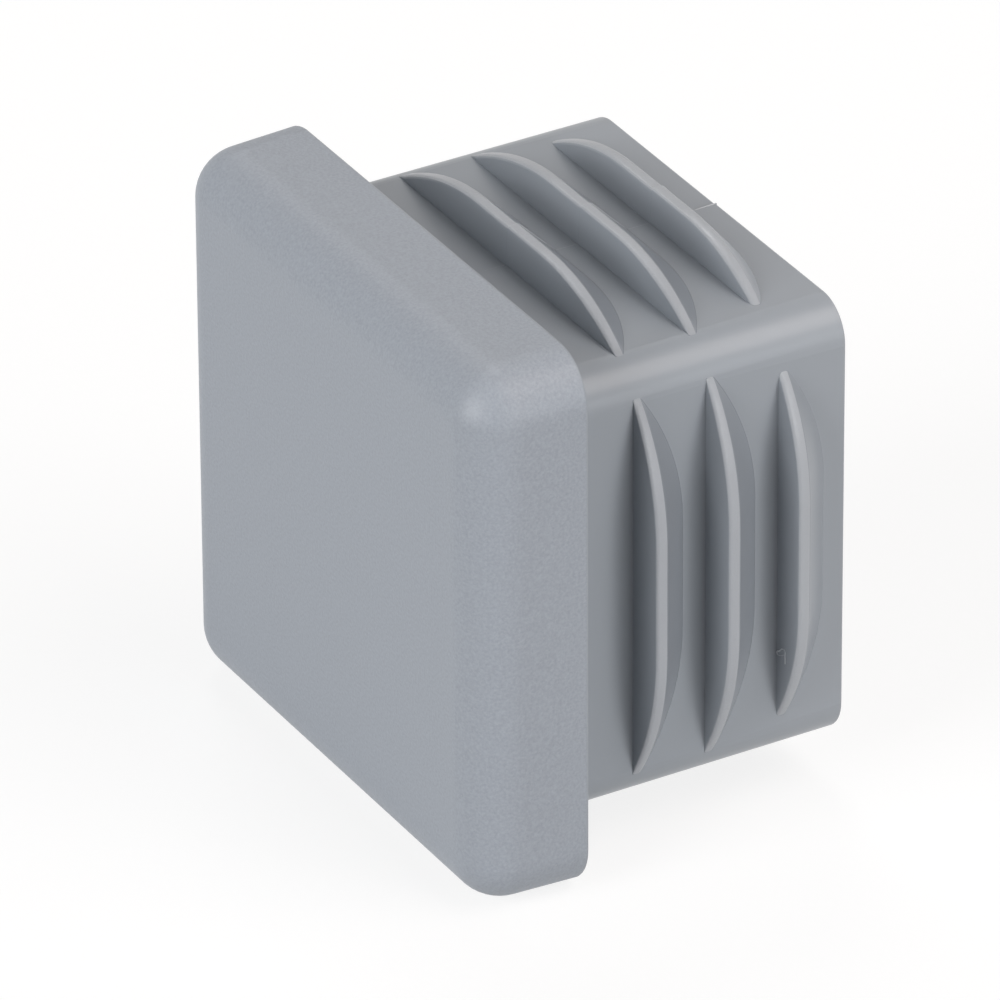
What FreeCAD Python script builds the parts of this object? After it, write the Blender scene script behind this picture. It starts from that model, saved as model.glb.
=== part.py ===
import FreeCAD, Part
import math
import os
import Sketcher

from FreeCAD import Placement, Rotation, Vector

# Square end cap for a square tube, moulded in one piece of plastic. Lengths in mm, angles in degrees.
# The tube's axis is Y. The head's face looks along -Y, the shank points along +Y, and Z is up.
# The origin is the middle of the seating face, the plane where the head meets the tube's end.

SIZES = [
    ("head_width", 40.0, "outer width of the head, that of the tube it closes"),
    ("head_thickness", 8.2, "from the face to the seating face"),
    ("head_draft", 1.5, "taper of the head's four sides towards the face"),
    ("head_radius", 3.5, "rounding of the face's edges and of the head's corners"),
    ("seat_width", 3.6, "width of the seating face on each side, from the shank to the head's side"),
    ("shank_radius", 2.8, "rounding of the shank's four long edges"),
    ("shank_wall", 2.0, "wall round the hollow"),
    ("hollow_radius", 0.8, "rounding of the hollow's four long edges"),
    ("face_wall", 3.2, "material left between the hollow and the face"),
    ("first_rib", 5.5, "from the seating face to the root of the first rib"),
    ("rib_pitch", 5.5, "from one rib's root to the next"),
    ("rib_margin", 2.5, "from a rib's tip to the side of the shank"),
    ("rib_flat", 8.0, "straight middle of a rib's crest, between its two arcs"),
    ("rib_height", 2.8, "height of a rib above the wall"),
    ("last_rib_margin", 3.5, "the same margin at the last rib, the one that enters the tube first"),
    ("last_rib_height", 2.55, "height of the last rib"),
    ("rib_root", 0.4, "how far each rib is sunk into the wall"),
    ("crest_width", 0.8, "flat on top of a rib, along the tube"),
    ("front_lean", 3.0, "lean of a rib's steep front, away from the head"),
    ("ramp_angle", 45.0, "slope of a rib's back, from the wall"),
    ("end_land", 1.35, "plain wall between the last rib's ramp and the shank's open end"),
]
RIB_COUNT = 3
SIDES = 4
SAME_PLACE = 0.01  # mm, nearer points than this count as one

# Lengths that follow from the sizes. The shank leaves the seating face free, and is as long as its ribs need.
SHANK_WIDTH = "(Sizes.head_width - 2 * Sizes.seat_width)"
HOLLOW_WIDTH = f"({SHANK_WIDTH} - 2 * Sizes.shank_wall)"
RAMP_RUN = "(Sizes.last_rib_height + Sizes.rib_root) / tan(Sizes.ramp_angle * 1 deg)"
LAST_RIB = f"Sizes.first_rib + {RIB_COUNT - 1} * Sizes.rib_pitch"
SHANK_LENGTH = f"({LAST_RIB} + Sizes.crest_width + {RAMP_RUN} + Sizes.end_land)"

doc = FreeCAD.newDocument("tube_end_cap")

sheet = doc.addObject("Spreadsheet::Sheet", "Sizes")
for row, (name, value, meaning) in enumerate(SIZES, start=1):
    sheet.set(f"A{row}", name)
    sheet.set(f"B{row}", str(value))
    sheet.set(f"C{row}", meaning)
    sheet.setAlias(f"B{row}", name)
doc.recompute()
shank_width = sheet.head_width - 2 * sheet.seat_width
hollow_width = shank_width - 2 * sheet.shank_wall

body = doc.addObject("PartDesign::Body", "EndCap")
body.Label = "end_cap"


def origin_feature(role):
    """One of the body's own planes or axes."""
    return next(item for item in body.Origin.OriginFeatures if item.Role == role)


def cross_section_sketch(name, depth):
    """A sketch across the tube's axis, at a depth behind the seating face that an expression gives.

    Its x is the model's X, its y is Z, and its normal looks along -Y."""
    sketch = body.newObject("Sketcher::SketchObject", name)
    sketch.AttachmentSupport = [(origin_feature("XZ_Plane"), "")]
    sketch.MapMode = "FlatFace"
    sketch.setExpression("AttachmentOffset.Base.z", f"-({depth})")
    return sketch


def size_by(sketch, kind, *where, drawn, expression):
    """Adds a measured constraint at the size that is drawn, and binds it to the sheet."""
    index = sketch.addConstraint(Sketcher.Constraint(kind, *where, drawn))
    sketch.setExpression(f"Constraints[{index}]", expression)


def draw_square(sketch, drawn, expression):
    """A square centred on the axis, its width bound to an expression."""
    half = drawn / 2
    corners = [Vector(-half, -half, 0), Vector(half, -half, 0), Vector(half, half, 0), Vector(-half, half, 0)]
    for start, end in zip(corners, corners[1:] + corners[:1]):
        sketch.addGeometry(Part.LineSegment(start, end))
    for side in range(SIDES):
        sketch.addConstraint(Sketcher.Constraint("Coincident", side, 2, (side + 1) % SIDES, 1))
        sketch.addConstraint(Sketcher.Constraint("Horizontal" if side % 2 == 0 else "Vertical", side))
    sketch.addConstraint(Sketcher.Constraint("Symmetric", 0, 1, 2, 1, -1, 1))
    sketch.addConstraint(Sketcher.Constraint("Equal", 0, 1))
    size_by(sketch, "DistanceX", 0, 1, 0, 2, drawn=drawn, expression=expression)


def edges_where(feature, test):
    """Names of a feature's edges that pass a test."""
    return [f"Edge{index}" for index, edge in enumerate(feature.Shape.Edges, start=1) if test(edge)]


def is_long_corner(edge, width):
    """Whether an edge runs along the tube, at a corner of a square of this width round the axis."""
    return all(
        abs(abs(point.x) - width / 2) < SAME_PLACE and abs(abs(point.z) - width / 2) < SAME_PLACE
        for point in (edge.Vertexes[0].Point, edge.Vertexes[-1].Point, edge.CenterOfMass)
    )


def fillet(name, base, edges, radius):
    """Rounds edges of the feature before it, with a radius from the sheet."""
    feature = body.newObject("PartDesign::Fillet", name)
    feature.Base = (base, edges)
    feature.setExpression("Radius", radius)
    doc.recompute()
    return feature


# Head

head_sketch = cross_section_sketch("HeadSketch", "0 mm")
draw_square(head_sketch, sheet.head_width, "Sizes.head_width")

head = body.newObject("PartDesign::Pad", "Head")
head.Profile = head_sketch
head.setExpression("Length", "Sizes.head_thickness")
head.setExpression("TaperAngle", "-Sizes.head_draft")
doc.recompute()

rounded_head = fillet(
    "HeadRounding",
    head,
    edges_where(head, lambda edge: edge.CenterOfMass.y < -SAME_PLACE),
    "Sizes.head_radius",
)

# Shank

shank_sketch = cross_section_sketch("ShankSketch", "0 mm")
draw_square(shank_sketch, shank_width, SHANK_WIDTH)

shank = body.newObject("PartDesign::Pad", "Shank")
shank.Profile = shank_sketch
shank.Reversed = True
shank.setExpression("Length", SHANK_LENGTH)
doc.recompute()

rounded_shank = fillet(
    "ShankRounding",
    shank,
    edges_where(shank, lambda edge: is_long_corner(edge, shank_width)),
    "Sizes.shank_radius",
)

# Ribs. Seen along the tube each is a low segment: a straight crest that falls to the wall in an arc at both
# ends. Its front, towards the head, is steep. Behind the narrow crest the same outline slides back and
# down along the ramp, so the ramp's foot is a bow that meets the wall at the rib's tips.


def draw_rib_outline(sketch, margin, height):
    """The segment outline. The sketch's origin is on the wall, in the middle of the rib."""
    half_flat = sheet.rib_flat / 2
    run = shank_width / 2 - getattr(sheet, margin) - half_flat
    rise = getattr(sheet, height)
    radius = run ** 2 / (2 * rise) + rise / 2
    foot = -sheet.rib_root
    reach = half_flat + math.sqrt(radius ** 2 - (radius - rise + foot) ** 2)
    start_angle = math.atan2(foot - (rise - radius), reach - half_flat)

    crest, right_arc, left_arc, root = range(4)
    start, end = 1, 2
    sketch.addGeometry(Part.LineSegment(Vector(-half_flat, rise, 0), Vector(half_flat, rise, 0)))
    right = Part.Circle(Vector(half_flat, rise - radius, 0), Vector(0, 0, 1), radius)
    sketch.addGeometry(Part.ArcOfCircle(right, start_angle, math.pi / 2))
    left = Part.Circle(Vector(-half_flat, rise - radius, 0), Vector(0, 0, 1), radius)
    sketch.addGeometry(Part.ArcOfCircle(left, math.pi / 2, math.pi - start_angle))
    sketch.addGeometry(Part.LineSegment(Vector(-reach, foot, 0), Vector(reach, foot, 0)))

    sketch.addConstraint([
        Sketcher.Constraint("Tangent", right_arc, end, crest, end),
        Sketcher.Constraint("Tangent", left_arc, start, crest, start),
        Sketcher.Constraint("Coincident", root, end, right_arc, start),
        Sketcher.Constraint("Coincident", root, start, left_arc, end),
        Sketcher.Constraint("Equal", right_arc, left_arc),
        Sketcher.Constraint("Symmetric", crest, start, crest, end, -2),
        Sketcher.Constraint("Horizontal", root),
    ])
    run_expression = f"({SHANK_WIDTH} / 2 - Sizes.{margin} - Sizes.rib_flat / 2)"
    radius_expression = f"{run_expression} ^ 2 / (2 * Sizes.{height}) + Sizes.{height} / 2"
    size_by(sketch, "DistanceX", crest, start, crest, end, drawn=sheet.rib_flat, expression="Sizes.rib_flat")
    size_by(sketch, "DistanceY", -1, 1, crest, end, drawn=rise, expression=f"Sizes.{height}")
    size_by(sketch, "DistanceY", root, end, -1, 1, drawn=sheet.rib_root, expression="Sizes.rib_root")
    size_by(sketch, "Radius", right_arc, drawn=radius, expression=radius_expression)


def rib_sketch(name, depth, margin, height):
    """A rib's outline on a plane that leans back from the wall, about the rib's root."""
    sketch = cross_section_sketch(name, depth)
    sketch.AttachmentOffset = Placement(Vector(0, 0, 0), Rotation(Vector(1, 0, 0), sheet.front_lean))
    sketch.setExpression("AttachmentOffset.Rotation.Angle", "-Sizes.front_lean")
    sketch.setExpression("AttachmentOffset.Base.y", f"{SHANK_WIDTH} / 2")
    draw_rib_outline(sketch, margin, height)
    return sketch


def slide(name, sketch, length, along, up):
    """Pads a rib's outline in a direction of its own: along the tube, and up from the wall."""
    pad = body.newObject("PartDesign::Pad", name)
    pad.Profile = sketch
    pad.UseCustomVector = True
    pad.AlongSketchNormal = False
    pad.setExpression("Direction.x", "0")
    pad.setExpression("Direction.y", along)
    pad.setExpression("Direction.z", up)
    pad.setExpression("Length", length)
    doc.recompute()
    return pad


rib_pads = []
for number in range(1, RIB_COUNT + 1):
    is_last = number == RIB_COUNT
    margin = "last_rib_margin" if is_last else "rib_margin"
    height = "last_rib_height" if is_last else "rib_height"
    depth = f"Sizes.first_rib + {number - 1} * Sizes.rib_pitch"

    crest_sketch = rib_sketch(f"Rib{number}CrestSketch", depth, margin, height)
    rib_pads.append(slide(f"Rib{number}Crest", crest_sketch, "Sizes.crest_width", "1", "0"))

    ramp_sketch = rib_sketch(f"Rib{number}RampSketch", f"{depth} + Sizes.crest_width", margin, height)
    drop = f"(Sizes.{height} + Sizes.rib_root) / sin(Sizes.ramp_angle * 1 deg)"
    rib_pads.append(slide(
        f"Rib{number}Ramp",
        ramp_sketch,
        drop,
        "cos(Sizes.ramp_angle * 1 deg)",
        "-sin(Sizes.ramp_angle * 1 deg)",
    ))

ribs_all_round = body.newObject("PartDesign::PolarPattern", "RibsAllRound")
ribs_all_round.Originals = rib_pads
ribs_all_round.Axis = (origin_feature("Y_Axis"), [""])
ribs_all_round.Angle = 360
ribs_all_round.Occurrences = SIDES
body.Tip = ribs_all_round
doc.recompute()

# Hollow, from the shank's open end into the head, so that the thick head cools as an even wall.

hollow_sketch = cross_section_sketch("HollowSketch", "Sizes.face_wall - Sizes.head_thickness")
draw_square(hollow_sketch, hollow_width, HOLLOW_WIDTH)

hollow = body.newObject("PartDesign::Pocket", "Hollow")
hollow.Profile = hollow_sketch
hollow.setExpression("Length", f"Sizes.head_thickness - Sizes.face_wall + {SHANK_LENGTH}")
doc.recompute()

rounded_hollow = fillet(
    "HollowRounding",
    hollow,
    edges_where(hollow, lambda edge: is_long_corner(edge, hollow_width)),
    "Sizes.hollow_radius",
)

body.Tip = rounded_hollow
doc.recompute()

for item in doc.Objects:
    if "Invalid" in item.State or "Error" in item.State:
        raise RuntimeError(f"{item.Name} did not build: {item.State}")
for feature in (head, rounded_head, shank, rounded_shank, *rib_pads, ribs_all_round, hollow, rounded_hollow):
    print(f"{feature.Name:16} volume {feature.Shape.Volume:10.2f}")
if body.Shape.isNull() or not body.Shape.isValid() or len(body.Shape.Solids) != 1:
    raise RuntimeError("the end cap is not one valid solid")

os.makedirs("parts", exist_ok=True)
body.Shape.exportStep(f"parts/{body.Label}.step")
box = body.Shape.optimalBoundingBox(False)
size = f"{box.XLength:.2f} x {box.YLength:.2f} x {box.ZLength:.2f} mm"
print(f"{body.Label} {size}, {body.Shape.Volume:.0f} mm3")
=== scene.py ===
# %% [markdown]
# # A moulded end cap for a square tube
#
# The real object is one piece of grey polyethylene, injection-moulded in a steel tool. A thick square head closes
# the tube. A hollow square shank goes into it, and the saw-tooth ribs on its four sides hold it there. The packed
# model has this form as it was designed. What it lacks is what the tool and the plastic add: ribs that run out to
# thin tips, edges that are never quite sharp, the line where the tool's two slides met, a grained head and a
# smoother shank. This file adds them. It also paints light and shade into the plastic's colour: painted shade in
# the creases at the ramps' feet, on the ramps, in the grain's pits and near the head, and painted light on the
# crests, the flash, the grain's tops, the wisp and towards the open end. How these marks look was measured on one
# photograph. The reasons given for them, and the plastic's name, are what is likely on such a part, and could not
# be checked.
#
# Every length is in metres, in the imported model's own frame: +Y is the tube's axis, +Z is up, and the origin is
# the middle of the seating face, where the head meets the tube.

# %% Load the imported model
import math

import bmesh
import bpy
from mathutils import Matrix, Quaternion, Vector
from mathutils.bvhtree import BVHTree


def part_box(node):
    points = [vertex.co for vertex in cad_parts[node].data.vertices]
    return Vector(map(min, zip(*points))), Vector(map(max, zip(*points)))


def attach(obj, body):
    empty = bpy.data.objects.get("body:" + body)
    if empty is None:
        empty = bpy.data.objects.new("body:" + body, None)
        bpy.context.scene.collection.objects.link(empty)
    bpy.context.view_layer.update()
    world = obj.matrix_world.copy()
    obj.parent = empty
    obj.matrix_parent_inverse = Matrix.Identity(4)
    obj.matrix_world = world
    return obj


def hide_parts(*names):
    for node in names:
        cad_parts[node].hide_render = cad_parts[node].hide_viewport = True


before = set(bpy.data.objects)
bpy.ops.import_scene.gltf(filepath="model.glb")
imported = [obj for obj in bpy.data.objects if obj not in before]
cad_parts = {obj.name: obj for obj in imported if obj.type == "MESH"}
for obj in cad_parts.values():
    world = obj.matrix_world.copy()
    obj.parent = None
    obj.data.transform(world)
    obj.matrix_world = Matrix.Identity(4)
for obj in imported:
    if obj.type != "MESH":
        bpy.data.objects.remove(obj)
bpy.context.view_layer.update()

MM = 0.001
low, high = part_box("end_cap")
print("packed model, mm:", [round(x / MM, 2) for x in (*low, *high)])

# %% [markdown]
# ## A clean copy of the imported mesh
#
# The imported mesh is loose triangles: no triangle shares a corner with its neighbour. A bevel needs to know which
# faces meet at an edge, so the copy's doubled corners are merged first. Flat faces then lose the triangles that
# only divide them, which leaves few edges inside them and clean runs of edges between them.

# %% Merge the copy
MERGE_DISTANCE = 0.002 * MM
FLAT = math.radians(0.5)

cap_mesh = bmesh.new()
cap_mesh.from_mesh(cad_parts["end_cap"].data)
bmesh.ops.remove_doubles(cap_mesh, verts=cap_mesh.verts, dist=MERGE_DISTANCE)
bmesh.ops.dissolve_limit(cap_mesh, angle_limit=FLAT, verts=cap_mesh.verts, edges=cap_mesh.edges)
open_edges = [edge for edge in cap_mesh.edges if len(edge.link_faces) != 2]
print("merged copy:", len(cap_mesh.verts), "corners,", len(cap_mesh.faces), "faces,", len(open_edges), "open edges")

# %% [markdown]
# ## The ribs' tips
#
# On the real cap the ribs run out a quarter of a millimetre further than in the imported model, and each crest
# narrows there to about two thirds of its width. New ribs could be drawn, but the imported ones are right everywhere
# else. So their corners are slid along the rib and towards the head instead, the more the nearer they are to a tip.
# Those that lie on the shank's rounded corner are put back onto it. The third rib's ramp on the top side is a
# little short as well, and its corners are drawn in towards the crest.

# %% Tell the shank's outside from the rest
TINY = 0.001 * MM
MID_WALL = 15.4 * MM
WALL_SIDE = 16.4 * MM
PAST_CRESTS = 19.5 * MM
shank_end = high.y


def by_slide(corner):
    """True for a corner on the outside of the shank, which the slides form; the head and the hollow are not."""
    inner, outer = sorted((abs(corner.co.x), abs(corner.co.z)))
    return corner.co.y > -TINY and inner < WALL_SIDE + TINY and MID_WALL < outer < PAST_CRESTS


def on_end_face(corner):
    """True on the seating face and on the shank's open end, which stay flat."""
    return corner.co.y < TINY or corner.co.y > shank_end - TINY


def between_ends(corner):
    """True for a corner that a slide forms, apart from those on the two end faces."""
    return by_slide(corner) and not on_end_face(corner)


rib_corners = [corner for corner in cap_mesh.verts if between_ends(corner)]
print("corners between the shank's ends:", len(rib_corners))

# %% Tell how far back a place is on its rib
FIRST_CREST = 5.45 * MM
CREST_PITCH = 5.5 * MM
CREST_WIDTH = 0.8 * MM
FRONT_LEAN = 0.052


def past_front(point):
    """How far a point is behind the front edge of its rib's crest. The front leans back as it rises."""
    height = max(abs(point.x), abs(point.z)) - WALL_SIDE
    return (point.y - FIRST_CREST - FRONT_LEAN * height) % CREST_PITCH


print("furthest behind a crest, mm:", round(max(past_front(corner.co) for corner in rib_corners) / MM, 2))

# %% Draw out the ribs' tips
X, Z = 0, 2
CORNER_RADIUS = 2.8 * MM
CORNER_START = WALL_SIDE - CORNER_RADIUS
TIP_FROM, TIP_END = 8 * MM, 13.93 * MM
TIP_REACH, TIP_NARROWING = 0.27 * MM, 0.3
THIRD_RIB = 16 * MM
TOP_RAMP_SHARE = 0.85

for corner in rib_corners:
    point = corner.co
    along_rib, outwards = (X, Z) if abs(point.z) > abs(point.x) else (Z, X)
    near_tip = min(1, max(0, (abs(point[along_rib]) - TIP_FROM) / (TIP_END - TIP_FROM))) ** 2
    behind = past_front(point)
    point.y -= TIP_NARROWING * near_tip * min(behind, CREST_WIDTH)
    if along_rib == X and point.z > 0 and point.y > THIRD_RIB and behind > CREST_WIDTH:
        point.y -= (1 - TOP_RAMP_SHARE) * (behind - CREST_WIDTH)
    point[along_rib] += math.copysign(TIP_REACH * near_tip, point[along_rib])
    into_corner = abs(point[along_rib]) - CORNER_START
    if into_corner > 0 and abs(point[outwards]) < WALL_SIDE + TINY:
        on_corner = CORNER_START + math.sqrt(CORNER_RADIUS ** 2 - into_corner ** 2)
        point[outwards] = math.copysign(on_corner, point[outwards])
print("highest crest, mm:", round(max(corner.co.z for corner in rib_corners) / MM, 2))

# %% [markdown]
# ## Outer edges as the tool leaves them
#
# Molten plastic never fills a sharp corner of the tool. So each outer edge of the cap has a rounding of about a
# tenth of a millimetre, which shows as a thin line of light along the head's back edge. The front edges of the
# crests look twice as soft, perhaps because they are filled last. The inner corners, where a rib stands on the wall,
# stay crisp: there the tool has an outer edge, and steel keeps it. A bevel of the chosen edges does this. A Bevel
# modifier would round the inner corners as well.

# %% Round the outer edges
EDGE_RADIUS, EDGE_SEGMENTS = 0.12 * MM, 2
CREST_EDGE_RADIUS, CREST_EDGE_SEGMENTS = 0.25 * MM, 3
SHARP = math.radians(20)
STEEP = math.radians(60)


def is_crest_front(edge):
    """True for the steep edge between a rib's front and its crest."""
    return all(between_ends(corner) for corner in edge.verts) and edge.calc_face_angle_signed(0) > STEEP


def is_other_outer_edge(edge):
    """True for any other edge with the solid inside it that turns more than SHARP. An inner corner is negative."""
    return edge.calc_face_angle_signed(0) > SHARP and not is_crest_front(edge)


def bevel(edges, width, segments):
    """Puts a strip of faces in place of each edge, and returns the strips."""
    strips = bmesh.ops.bevel(
        cap_mesh, geom=edges, offset=width, offset_type="OFFSET", affect="EDGES", segments=segments,
        profile=0.5, material=-1, clamp_overlap=False,
    )["faces"]
    print("bevelled edges:", len(edges), "new faces:", len(strips))
    return strips


bevel([edge for edge in cap_mesh.edges if is_other_outer_edge(edge)], EDGE_RADIUS, EDGE_SEGMENTS)
bevel([edge for edge in cap_mesh.edges if is_crest_front(edge)], CREST_EDGE_RADIUS, CREST_EDGE_SEGMENTS)

# %% [markdown]
# ## Painted shade at the foot of each ramp
#
# A fine dark line runs along the bow where a ramp meets the wall: painted shade, the shade of that inner corner
# painted into the colour. A texture would have to be fitted to every bow. The bow is already an edge of the mesh,
# so a narrow bevel gives the painted line faces of its own. A number on each face, its tone, tells the material
# later how dark or how pale the plastic is painted there.

# %% Lay the painted crease lines
# Painted shade: a dark line painted along each ramp's foot, fainter on the third rib.
CREASE_PAINTED_SHADE_WIDTH = 0.05 * MM
FOOT_FROM, FOOT_TO = math.radians(-60), math.radians(-25)
CREASE_PAINTED_SHADE_TONE, FAINT_CREASE_PAINTED_SHADE_TONE = -1, -0.5


def is_ramp_foot(edge):
    """True where a rib's back ramp meets the wall, an inner corner of about 45 degrees."""
    return all(between_ends(corner) for corner in edge.verts) and FOOT_FROM < edge.calc_face_angle_signed(0) < FOOT_TO


tone = cap_mesh.faces.layers.float.new("tone")
for face in bevel([edge for edge in cap_mesh.edges if is_ramp_foot(edge)], CREASE_PAINTED_SHADE_WIDTH / 2, 1):
    face[tone] = FAINT_CREASE_PAINTED_SHADE_TONE if face.calc_center_median().y > THIRD_RIB else CREASE_PAINTED_SHADE_TONE
print("seam faces:", sum(face[tone] < 0 for face in cap_mesh.faces))

# %% [markdown]
# ## The line between the slides
#
# The ribs undercut the shank on all four sides, so it can't be pulled out of one block of steel. Two slides form
# it, which part along X, and they meet on the middle plane of the top and bottom walls. The line they leave could be
# drawn on with a texture, but it is a real step, so the copy is cut on that plane, and again a hair to each side,
# which gives the line faces and corners that can be moved.

# %% Cut the shank where the slides meet
LINE_WIDTH = 0.04 * MM

for cut_x in (-LINE_WIDTH, 0, LINE_WIDTH):
    shank_faces = [face for face in cap_mesh.faces if any(by_slide(corner) for corner in face.verts)]
    shank_edges = {edge for face in shank_faces for edge in face.edges}
    shank_corners = {corner for face in shank_faces for corner in face.verts}
    bmesh.ops.bisect_plane(
        cap_mesh, geom=[*shank_corners, *shank_edges, *shank_faces], dist=TINY,
        plane_co=(cut_x, 0, 0), plane_no=(1, 0, 0),
    )
print("faces after the cuts:", len(cap_mesh.faces))

# %% [markdown]
# ## Painted light and painted shade
#
# The crests are painted paler than the wall, and the flash on the line between the slides paler still: painted
# light, for the light that the thin plastic there lets through. The crests look paler than the wall, and the flash
# on the line between the slides paler still, which fits thin plastic that lets more light through. The ramps are
# painted a little darker: painted shade, by a measured amount. The ramps look a little darker, for no reason that
# the photograph shows, and were matched to it. A shader sees only a surface and can't tell how thick the plastic
# is. Light that scatters inside could be worked out, but it takes long and blurs the painted lines in the creases.
# So the faces are chosen here by where they are and which way they face, while the ribs are still where the sizes
# say, and each takes a tone: 0 is the plain wall, more is painted paler and less is painted darker.

# %% Mark the faces painted paler and the ramps painted darker
LOW_RIB = 0.02 * MM
CREST_BAND = 0.95 * MM
FACES_HEAD, FACES_BACK, FACES_END = -0.85, 0.3, 0.95
# Painted light on the crests and the flash, painted shade on the ramps.
FLASH_PAINTED_LIGHT_TONE, CREST_PAINTED_LIGHT_TONE, RAMP_PAINTED_SHADE_TONE = 1.0, 0.6, -0.5


def face_tone(face):
    """The tone of a face: painted light on crests and flash, painted shade on all ramps but the top's third."""
    if not all(by_slide(corner) for corner in face.verts):
        return 0
    centre = face.calc_center_median()
    if abs(centre.x) < LINE_WIDTH:
        return FLASH_PAINTED_LIGHT_TONE if face.normal.y > FACES_HEAD else 0
    if max(abs(centre.x), abs(centre.z)) < WALL_SIDE + LOW_RIB:
        return 0
    if past_front(centre) < CREST_BAND and FACES_HEAD < face.normal.y < FACES_BACK:
        return CREST_PAINTED_LIGHT_TONE
    if FACES_BACK < face.normal.y < FACES_END:
        # Painted shade: the ramps are painted darker, all but the third rib's on the top.
        return RAMP_PAINTED_SHADE_TONE if centre.y < THIRD_RIB or abs(centre.x) > WALL_SIDE else 0
    return 0


cap_mesh.normal_update()
for face in cap_mesh.faces:
    face[tone] = face[tone] or face_tone(face)
print("faces of thin plastic:", sum(face[tone] > 0 for face in cap_mesh.faces))

# %% [markdown]
# ## Slides that closed a little off
#
# Slides never close exactly where they should. On this cap both sit almost 0.3 mm low against the head's cavity,
# and the +X slide closes a tenth higher than the other. That leaves a step in each crest, and a thin ridge of flash
# that ends in a small spike at the open end. Everything that a slide forms is moved with it, and the corners on the
# line are raised along their normals. The two end faces slide in their own plane and stay flat.

# %% Move what the slides form, and raise the flash
SLIDES_LOW = 0.287 * MM
SLIDE_LIFT, SLIDE_BACK = 0.1 * MM, 0.03 * MM
FLASH_HEIGHT = 0.05 * MM
SPIKE_HEIGHT, SPIKE_LENGTH = 0.08 * MM, 0.24 * MM

cap_mesh.normal_update()
formed = [corner for corner in cap_mesh.verts if by_slide(corner)]
on_line = [corner for corner in formed if abs(corner.co.x) < TINY]
outward = [corner.normal.copy() for corner in on_line]
for corner in formed:
    corner.co.z -= SLIDES_LOW
    if corner.co.x > TINY:
        corner.co.z += SLIDE_LIFT
        corner.co.y -= 0 if on_end_face(corner) else SLIDE_BACK
for corner, normal in zip(on_line, outward):
    corner.co.z += SLIDE_LIFT / 2
    if not on_end_face(corner):
        corner.co += FLASH_HEIGHT * normal
    if corner.co.y > shank_end - SPIKE_LENGTH and corner.co.z > 0:
        corner.co.z += SPIKE_HEIGHT
print("corners on the line:", len(on_line))

# %% [markdown]
# ## Crisp corners and flat faces
#
# Smooth shading alone would blur the light over every corner, so a wall would look like a pillow. Edges that turn
# sharply are marked as crisp, and so is each edge of the flash. A Weighted Normal modifier then takes the shading
# of every other edge from its larger face, so flat faces stay flat and only the narrow roundings turn.

# %% Mark the corners that stay crisp
CRISP = math.radians(50)


def beside_line(edge):
    """True for an edge of the flash."""
    return all(by_slide(corner) and abs(corner.co.x) < LINE_WIDTH + TINY for corner in edge.verts)


for edge in cap_mesh.edges:
    edge.smooth = abs(edge.calc_face_angle_signed(0)) < CRISP and not beside_line(edge)
print("crisp edges:", sum(not edge.smooth for edge in cap_mesh.edges))
print("volume, mm3:", round(cap_mesh.calc_volume() / MM ** 3, 1))

# %% Make the cap's object
FROM_LARGER_FACE = 100

cap_data = bpy.data.meshes.new("moulded_cap")
cap_mesh.to_mesh(cap_data)
cap_surface = BVHTree.FromBMesh(cap_mesh)
cap_mesh.free()
cap = bpy.data.objects.new("moulded_cap", cap_data)
bpy.context.collection.objects.link(cap)
shading = cap.modifiers.new("flat faces stay flat", "WEIGHTED_NORMAL")
shading.weight = FROM_LARGER_FACE
shading.keep_sharp = True

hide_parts("end_cap")
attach(cap, "root")
print("faces of the cap:", len(cap_data.polygons))

# %% [markdown]
# ## The plastic
#
# The cap is polyethylene coloured through with grey. Light goes a little way into it and comes back evenly, so
# its colour looks the same from every side, and its skin adds only a soft sheen. The skin is a print of the
# steel. The head has the look of a spark-eroded cavity, overlapping craters a fifth of a millimetre wide that
# sparkle faintly, and the crests have it too. The head's grey is mottled with the craters: painted shade in their
# pits and painted light on their tops. The rest of the shank is satin, as polished slides leave it, with slow waves
# where the plastic shrank. Its grey runs from painted shade near the head to painted light towards its open end,
# which was matched to one photograph. One material does all of it, because it is one shot of plastic, and it
# changes at the seating face, where head cavity and slides met. A picture of the grain would stretch over the
# roundings. Noise that is worked out from the place in space does not.

# %% A colour and a node


def linear(hex_colour):
    """An sRGB hex colour as the linear values that a shader takes."""
    channels = [int(hex_colour[start:start + 2], 16) / 255 for start in (1, 3, 5)]
    return (*[c / 12.92 if c <= 0.04045 else ((c + 0.055) / 1.055) ** 2.4 for c in channels], 1)


def add_node(tree, kind, values=None, links=None, **settings):
    """A node with its settings, the values of its input sockets and the sockets that feed them."""
    node = tree.nodes.new("ShaderNode" + kind)
    for name, setting in settings.items():
        setattr(node, name, setting)
    for socket, value in (values or {}).items():
        node.inputs[socket].default_value = value
    for socket, source in (links or {}).items():
        tree.links.new(source, node.inputs[socket])
    return node


WHITE = "#ffffff"
print("white is", linear(WHITE))

# %% Where head and shank meet
# Moulded polyethylene: an even grey with a waxy sheen, never glossy. Its nodes work in millimetres.
POLYETHYLENE_IOR = 1.51
GRAIN_START, GRAIN_FULL = -0.08, -0.2

plastic = bpy.data.materials.new("polyethylene_moulded")
plastic.use_nodes = True
tree = plastic.node_tree
shader = tree.nodes["Principled BSDF"]
shader.inputs["IOR"].default_value = POLYETHYLENE_IOR

position = add_node(tree, "TexCoord").outputs["Object"]
position_mm = add_node(
    tree, "Mapping", {"Scale": (1 / MM, 1 / MM, 1 / MM)}, {"Vector": position},
).outputs["Vector"]
along = add_node(tree, "SeparateXYZ", links={"Vector": position_mm}).outputs["Y"]
on_head = add_node(
    tree, "MapRange", {"From Min": GRAIN_START, "From Max": GRAIN_FULL}, {"Value": along},
).outputs["Result"]
print("grain from y, mm:", GRAIN_START, "to", GRAIN_FULL)

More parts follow.
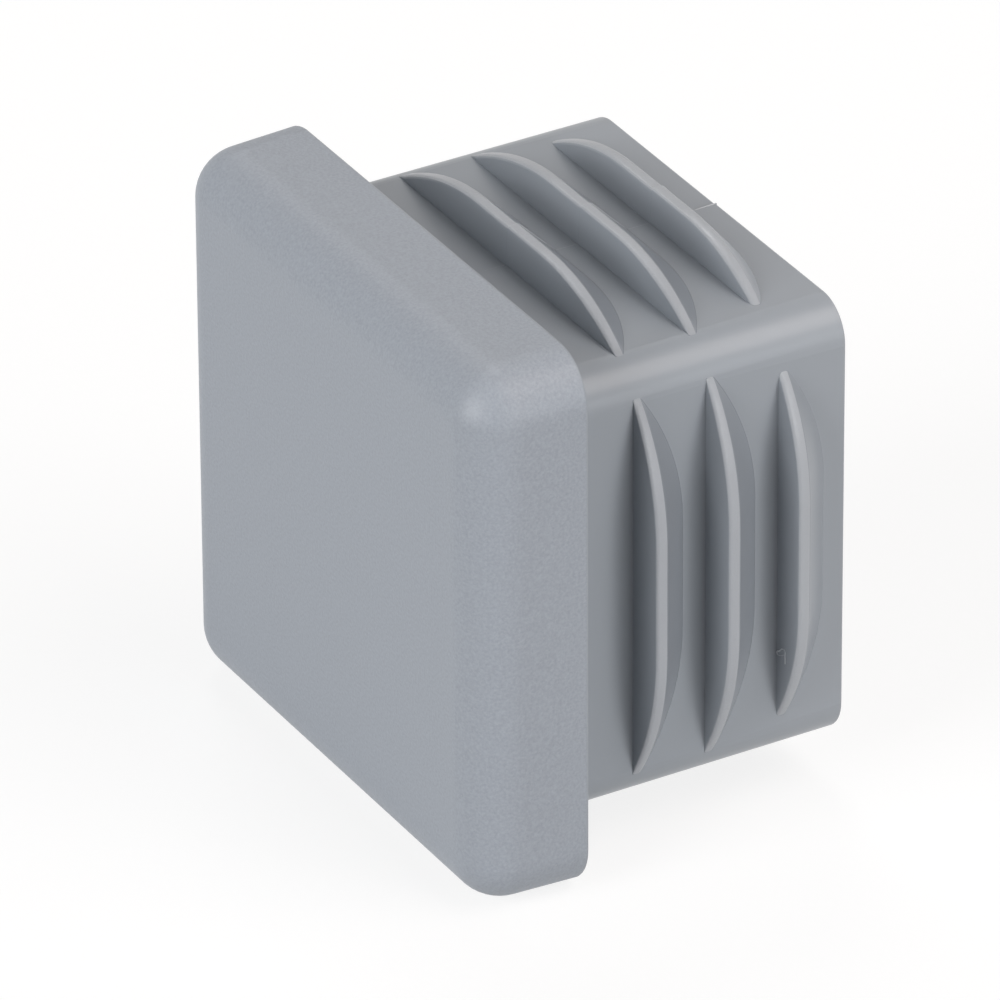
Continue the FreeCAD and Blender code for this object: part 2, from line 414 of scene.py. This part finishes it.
# %% The grain of the head and the crests
GRAIN_WIDTH, GRAIN_DEPTH = 0.2, 0.03
GRAIN_NOISE = {"Scale": 1 / GRAIN_WIDTH, "Detail": 2.0, "Roughness": 0.6}

tone_there = add_node(tree, "Attribute", attribute_name="tone").outputs["Fac"]
on_crest = add_node(
    tree, "MapRange", {"From Min": CREST_PAINTED_LIGHT_TONE / 2, "From Max": CREST_PAINTED_LIGHT_TONE}, {"Value": tone_there},
).outputs["Result"]
grained = add_node(tree, "Math", links={0: on_head, 1: on_crest}, operation="MAXIMUM").outputs["Value"]
grain = add_node(tree, "TexNoise", GRAIN_NOISE, {"Vector": position_mm}).outputs["Fac"]
grain_depth = add_node(tree, "Math", {1: GRAIN_DEPTH}, {0: grained}, operation="MULTIPLY").outputs["Value"]
grain_height = add_node(tree, "Math", links={0: grain, 1: grain_depth}, operation="MULTIPLY").outputs["Value"]
print("craters, mm: wide", GRAIN_WIDTH, "deep", GRAIN_DEPTH)

# %% The slow waves of the shank
WAVE_WIDTH, WAVE_DEPTH = 2.5, 0.004
WAVE_NOISE = {"Scale": 1 / WAVE_WIDTH, "Detail": 1.0, "Roughness": 0.4}

waves = add_node(tree, "TexNoise", WAVE_NOISE, {"Vector": position_mm}).outputs["Fac"]
height = add_node(
    tree, "Math", {1: WAVE_DEPTH}, {0: waves, 2: grain_height}, operation="MULTIPLY_ADD",
).outputs["Value"]
relief = add_node(tree, "Bump", {"Strength": 1.0, "Distance": MM}, {"Height": height}).outputs["Normal"]
tree.links.new(relief, shader.inputs["Normal"])
print("waves, mm: wide", WAVE_WIDTH, "deep", WAVE_DEPTH)

# %% The greys of the shank
# Painted shade for the crease lines and the ramps, painted light for the crests and the flash.
CREASE_PAINTED_SHADE_GREY, SHANK_GREY, CREST_PAINTED_LIGHT_GREY, FLASH_PAINTED_LIGHT_GREY = "#767b82", "#92989f", "#a0a4aa", "#acb0b4"
# Painted shade near the head and painted light towards the open end, along the shank.
PAINTED_GRADIENT_FROM, PAINTED_GRADIENT_TO = 0.0, 21.0
HEAD_END_PAINTED_SHADE, OPEN_END_PAINTED_LIGHT = -0.1, 0.15


def on_ramp(value):
    """Where a tone lies on a colour ramp that runs from the painted crease shade's tone to the painted flash's."""
    return (value - CREASE_PAINTED_SHADE_TONE) / (FLASH_PAINTED_LIGHT_TONE - CREASE_PAINTED_SHADE_TONE)


# Painted shade near the head, painted light towards the open end.
painted_end_gradient = add_node(
    tree, "MapRange",
    {"From Min": PAINTED_GRADIENT_FROM, "From Max": PAINTED_GRADIENT_TO, "To Min": HEAD_END_PAINTED_SHADE, "To Max": OPEN_END_PAINTED_LIGHT}, {"Value": along},
).outputs["Result"]
shank_tone = add_node(tree, "Math", links={0: tone_there, 1: painted_end_gradient}, operation="ADD").outputs["Value"]
tone_place = add_node(
    tree, "MapRange", {"From Min": CREASE_PAINTED_SHADE_TONE, "From Max": FLASH_PAINTED_LIGHT_TONE}, {"Value": shank_tone},
).outputs["Result"]
tone_ramp = add_node(tree, "ValToRGB", links={"Fac": tone_place})
stops = tone_ramp.color_ramp.elements
stops[0].color, stops[1].color = linear(CREASE_PAINTED_SHADE_GREY), linear(FLASH_PAINTED_LIGHT_GREY)
stops.new(on_ramp(CREST_PAINTED_LIGHT_TONE)).color = linear(CREST_PAINTED_LIGHT_GREY)
stops.new(on_ramp(0)).color = linear(SHANK_GREY)
print("ramp stops:", [round(stop.position, 2) for stop in stops])

# %% Colour and sheen of the whole cap
# Painted shade and light: the head's grey follows the craters, darker in their pits and paler on their tops.
PEAK_PAINTED_LIGHT_GREY, PIT_PAINTED_SHADE_GREY = "#a2a8b1", "#858b93"
HEAD_ROUGHNESS, SHANK_ROUGHNESS = 0.45, 0.3

head_colour = add_node(
    tree, "MixRGB", {"Color1": linear(PIT_PAINTED_SHADE_GREY), "Color2": linear(PEAK_PAINTED_LIGHT_GREY)}, {"Fac": grain},
).outputs["Color"]
colour = add_node(
    tree, "MixRGB", links={"Fac": on_head, "Color1": tone_ramp.outputs["Color"], "Color2": head_colour},
).outputs["Color"]
tree.links.new(colour, shader.inputs["Base Color"])
roughness = add_node(
    tree, "MapRange", {"To Min": SHANK_ROUGHNESS, "To Max": HEAD_ROUGHNESS}, {"Value": on_head},
).outputs["Result"]
tree.links.new(roughness, shader.inputs["Roughness"])
cap_data.materials.append(plastic)
print("plastic nodes:", len(tree.nodes))

# %% [markdown]
# ## A wisp of plastic
#
# When a tool opens it can pull a thread from plastic that is still soft, which falls back and sticks. On this cap a
# curl of it lies on the front of the third rib, on the right side, painted pale. A scratch could be drawn by the
# material, but a thread stands up and throws a shadow, so it is a bent curve with a round section. Each of its points
# is first dropped onto the nearest place of the cap, so that it rests on the rib. The curve is then made a mesh.

# %% Bend the thread
WISP_RADIUS = 0.035 * MM
RING_SEGMENTS = 2
THIRD_FRONT = 16.5
# Each point: how far out from the tube's axis and how far up, in millimetres, and its share of the radius.
WISP_POINTS = (
    (17.25, -8.1, 0.5), (16.9, -8.3, 0.6), (16.55, -8.39, 0.7), (16.46, -8.28, 1.3), (16.78, -7.99, 1.5),
    (17.13, -7.7, 1.2), (17.36, -7.73, 0.7), (17.4, -8.1, 1), (17.42, -8.7, 1),
)

wisp_curve = bpy.data.curves.new("wisp_path", "CURVE")
wisp_curve.dimensions = "3D"
wisp_curve.bevel_depth = WISP_RADIUS
wisp_curve.bevel_resolution = RING_SEGMENTS
wisp_curve.use_fill_caps = True
thread = wisp_curve.splines.new("BEZIER")
thread.bezier_points.add(len(WISP_POINTS) - 1)
for point, (out_mm, up_mm, thickness) in zip(thread.bezier_points, WISP_POINTS):
    resting, outward_there, *_ = cap_surface.find_nearest(Vector((out_mm, THIRD_FRONT, up_mm)) * MM)
    point.co = resting + WISP_RADIUS / 2 * outward_there
    point.radius = thickness
    point.handle_left_type = point.handle_right_type = "AUTO"
print("wisp from, mm:", [round(value / MM, 2) for value in thread.bezier_points[0].co])

# %% Lay the wisp on the rib
wisp_path = bpy.data.objects.new("wisp_path", wisp_curve)
bpy.context.collection.objects.link(wisp_path)
wisp_data = bpy.data.meshes.new_from_object(wisp_path)
bpy.data.objects.remove(wisp_path)
wisp = bpy.data.objects.new("wisp", wisp_data)
bpy.context.collection.objects.link(wisp)
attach(wisp, "root")
print("wisp faces:", len(wisp_data.polygons))

# %% Its plastic, painted pale
# Polyethylene pulled to a thread, painted paler than the cap: painted light, for the light that so thin a thread
# lets through and catches. It is the palest place on the cap.
WISP_PAINTED_LIGHT_GREY = "#c8ccd0"

wisp_plastic = bpy.data.materials.new("polyethylene_thread_painted_pale")
wisp_plastic.use_nodes = True
wisp_shader = wisp_plastic.node_tree.nodes["Principled BSDF"]
wisp_shader.inputs["Base Color"].default_value = linear(WISP_PAINTED_LIGHT_GREY)
wisp_shader.inputs["Roughness"].default_value = SHANK_ROUGHNESS
wisp_shader.inputs["IOR"].default_value = POLYETHYLENE_IOR
wisp_data.materials.append(wisp_plastic)
print("wisp colour, linear:", [round(value, 3) for value in linear(WISP_PAINTED_LIGHT_GREY)])

# %% [markdown]
# ## A pale floor
#
# The floor is a sheet of matt white paper under the cap. To the camera, and in a glossy surface, it has to be the
# pure white of a light table, yet it has to keep the cap's shadow. So what the camera sees is part paper, which
# takes the shadow, and part plain white, which does not. Light Path's camera, glossy and transmission rays choose
# that mix, and all other light meets plain paper, which throws a natural glow back under the cap.

# %% Lay the floor
FLOOR_HALF = 2.0

floor_mesh = bmesh.new()
bmesh.ops.create_grid(floor_mesh, size=FLOOR_HALF)
bmesh.ops.translate(floor_mesh, verts=floor_mesh.verts, vec=(0, 0, low.z))
floor_data = bpy.data.meshes.new("paper_floor")
floor_mesh.to_mesh(floor_data)
floor_mesh.free()
floor = bpy.data.objects.new("paper_floor", floor_data)
bpy.context.collection.objects.link(floor)
print("floor at z, mm:", round(low.z / MM, 2))

# %% Rays that see white


def seen_rays(tree):
    """1 for a ray of the camera, of a reflection or of a transmission, 0 for all other light."""
    rays = add_node(tree, "LightPath").outputs
    seen = rays["Is Camera Ray"]
    for kind in ("Is Glossy Ray", "Is Transmission Ray"):
        seen = add_node(tree, "Math", links={0: seen, 1: rays[kind]}, operation="MAXIMUM").outputs["Value"]
    return seen


# %% The paper
# Matt paper: no sheen at all. LIT_PAPER is how white it is in full light, and what plain white makes up to 1.
PAPER = "#c6c6c6"
SHADOW_SHARE = 0.2
LIT_PAPER = 0.85

paper = bpy.data.materials.new("paper_matt_white")
paper.use_nodes = True
paper_tree = paper.node_tree
paper_shader = paper_tree.nodes["Principled BSDF"]
paper_shader.inputs["Base Color"].default_value = linear(PAPER)
paper_shader.inputs["Roughness"].default_value = 1.0
paper_shader.inputs["Specular IOR Level"].default_value = 0.0
plain_strength = (1 - SHADOW_SHARE * LIT_PAPER) / (1 - SHADOW_SHARE)
plain_white = add_node(paper_tree, "Emission", {"Strength": plain_strength}).outputs["Emission"]
shadow_paper = add_node(paper_tree, "BsdfDiffuse", {"Color": linear(WHITE)}).outputs["BSDF"]
seen_paper = add_node(
    paper_tree, "MixShader", {0: SHADOW_SHARE}, {1: plain_white, 2: shadow_paper},
).outputs["Shader"]
floor_finish = add_node(
    paper_tree, "MixShader", links={0: seen_rays(paper_tree), 1: paper_shader.outputs["BSDF"], 2: seen_paper},
).outputs["Shader"]
paper_tree.links.new(floor_finish, paper_tree.nodes["Material Output"].inputs["Surface"])
floor_data.materials.append(paper)
print("plain white strength:", round(plain_strength, 3))

# %% [markdown]
# ## Soft light in a white room
#
# The cap lies in a white room, so its sheen has white to mirror wherever it looks, and the light that shapes it
# comes from softboxes. Grooves and ribs facing the camera are the darkest places, so hardly any light comes from
# the camera's own side. The head is lit by wide boxes to its left, two low over the table and one above them. The
# crests and the long right wall take a row of boxes at the right side and beyond the right end, and the shank's top
# takes high ones from beyond the right end and from behind. Each box is a sun lamp with the width that the box has
# as seen from the cap. Their strengths were found with one render for each lamp, added up and then adjusted to
# match the photograph's tones from its own side. So they are not known to be those of the real studio. Two of them
# leave no mirror image, which no real lamp does. That was done only because it matches better, and keeps the head's
# near corner from getting too bright a spot.

# %% Hang the softboxes
WARM_WHITE = "#fff4ee"
# Each box: its name, azimuth, elevation and width in degrees, its strength, its colour, and if it is mirrored.
SOFTBOXES = (
    ("left_low", 0, 10, 22, 0.99, WHITE, True),
    ("left_low_inner", 20, 10, 22, 0.35, WHITE, True),
    ("left_raised", 11, 32, 30, 0.44, WHITE, True),
    ("left_raised_matt", 11, 32, 30, 0.75, WHITE, False),
    ("right_side_low", 100, 10, 22, 0.56, WHITE, True),
    ("right_end_low", 120, 10, 22, 0.95, WHITE, False),
    ("right_end_raised", 130, 40, 40, 0.29, WHITE, True),
    ("right_end_high", 130, 54, 44, 0.98, WARM_WHITE, True),
    ("behind_high", 170, 60, 40, 0.17, WARM_WHITE, True),
    ("back_left_high", 252, 54, 22, 0.57, WHITE, True),
)


def direction(azimuth, elevation):
    """The direction from the cap to something; azimuth 0 is in front of the head, and 90 is to its right."""
    azimuth, elevation = math.radians(azimuth), math.radians(elevation)
    return Vector((
        math.sin(azimuth) * math.cos(elevation), -math.cos(azimuth) * math.cos(elevation), math.sin(elevation),
    ))


for name, azimuth, elevation, width, strength, tint, mirrored in SOFTBOXES:
    box_light = bpy.data.lights.new(name, "SUN")
    box_light.energy = strength
    box_light.color = linear(tint)[:3]
    box_light.angle = math.radians(width)
    softbox = bpy.data.objects.new(name, box_light)
    softbox.rotation_mode = "QUATERNION"
    softbox.rotation_quaternion = direction(azimuth, elevation).to_track_quat("Z", "Y")
    softbox.visible_glossy = mirrored
    bpy.context.collection.objects.link(softbox)
on_floor = sum(strength * direction(azimuth, elevation).z for _, azimuth, elevation, _, strength, *_ in SOFTBOXES)
print("softboxes:", len(SOFTBOXES), "paper in full light:", round(on_floor / math.pi, 3))

# %% The white room
room = bpy.data.worlds.new("white_room")
bpy.context.scene.world = room
room.use_nodes = True
background = room.node_tree.nodes["Background"]
background.inputs["Color"].default_value = linear(WHITE)
room.node_tree.links.new(seen_rays(room.node_tree), background.inputs["Strength"])
print("room nodes:", len(room.node_tree.nodes))

# %% [markdown]
# ## The camera
#
# A long lens stands to the right of the head, thirty degrees up, and looks a little to one side of the origin. Its
# place, its roll and its lens were fitted to the photograph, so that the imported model's corners fall on the same
# pixels.

# %% Set up the camera
AZIMUTH, ELEVATION, ROLL = 60.042, 30.256, -0.322
DISTANCE = 810.7 * MM
AIM_RIGHT, AIM_UP = 4.288 * MM, -0.038 * MM
SENSOR_MM, FOCAL_LENGTH_MM = 36, 442.52
NEAR, FAR = 0.01, 20

to_camera = direction(AZIMUTH, ELEVATION)
lens = bpy.data.cameras.new("camera")
lens.sensor_width = SENSOR_MM
lens.lens = FOCAL_LENGTH_MM
lens.clip_start, lens.clip_end = NEAR, FAR
camera = bpy.data.objects.new("camera", lens)
bpy.context.collection.objects.link(camera)
turn = to_camera.to_track_quat("Z", "Y").to_matrix()
rolled = Quaternion(to_camera, math.radians(ROLL)).to_matrix()
right, up = rolled @ turn.col[0], rolled @ turn.col[1]
camera.rotation_mode = "QUATERNION"
camera.location = AIM_RIGHT * right + AIM_UP * up + DISTANCE * to_camera
camera.rotation_quaternion = (rolled @ turn).to_quaternion()
bpy.context.scene.camera = camera
bpy.context.scene.view_settings.view_transform = "Standard"
print("camera at, mm:", [round(value / MM, 1) for value in camera.location])
